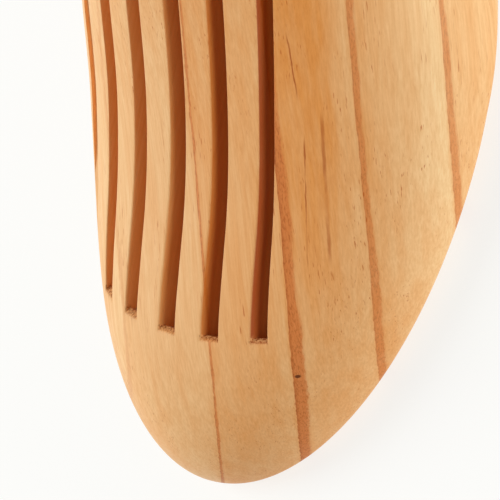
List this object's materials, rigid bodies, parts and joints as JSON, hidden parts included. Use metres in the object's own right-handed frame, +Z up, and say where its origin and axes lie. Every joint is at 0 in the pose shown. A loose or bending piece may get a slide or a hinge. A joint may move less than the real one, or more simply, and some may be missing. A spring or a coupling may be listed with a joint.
{
  "type": "shoe stretcher",
  "caption": "Wooden shoe stretcher for a left shoe: slotted toe block hinged on a sprung telescopic tube that pushes a rounded heel block with a pull knob.",
  "frame": {"origin": "on the toe block's flat sole, below the ball of the foot, in the upright plane of the tube", "axes": "+X along the tube towards the toe, +Y to the little toe's side, +Z up from the sole"},
  "size_m": [0.278, 0.0891, 0.0887],
  "materials": {
    "pine": "fine sanded, unvarnished",
    "dowel": "sanded end grain",
    "steel": "nickel plated, lightly brushed",
    "nylon": "plain moulded"
  },
  "bodies": {
    "forepart": {"toe_block": "pine", "pivot_pin": "steel", "pin_plug_big_toe_side": "dowel", "pin_plug_little_toe_side": "dowel", "pivot_washers": "nylon"},
    "stem": {"tongue": "steel", "tongue_pin": "steel", "inner_tube": "steel", "rear_bush": "nylon", "spring": "steel"},
    "heel": {"outer_tube": "steel", "front_bush": "nylon", "collar": "steel", "stop_screw": "steel", "end_plug": "steel", "guide_rod": "steel", "heel_block": "pine", "ferrule": "steel", "ferrule_screws": "steel", "tube_screw": "steel", "knob": "pine", "knob_washer": "steel", "knob_stud": "steel"}
  },
  "joints": [
    {"name": "toe_pivot", "type": "hinge", "parent": "forepart", "child": "stem", "pos_m": [-0.05, 0, 0.03], "axis": [0, 1, 0], "range_deg": [0, 25]},
    {"name": "tube_slide", "type": "slide", "parent": "stem", "child": "heel", "axis": [1, 0, 0], "range_m": [0, 0.03], "stiffness_N_per_m": 1300, "springref_m": -0.012, "deforming": ["spring"]}
  ]
}
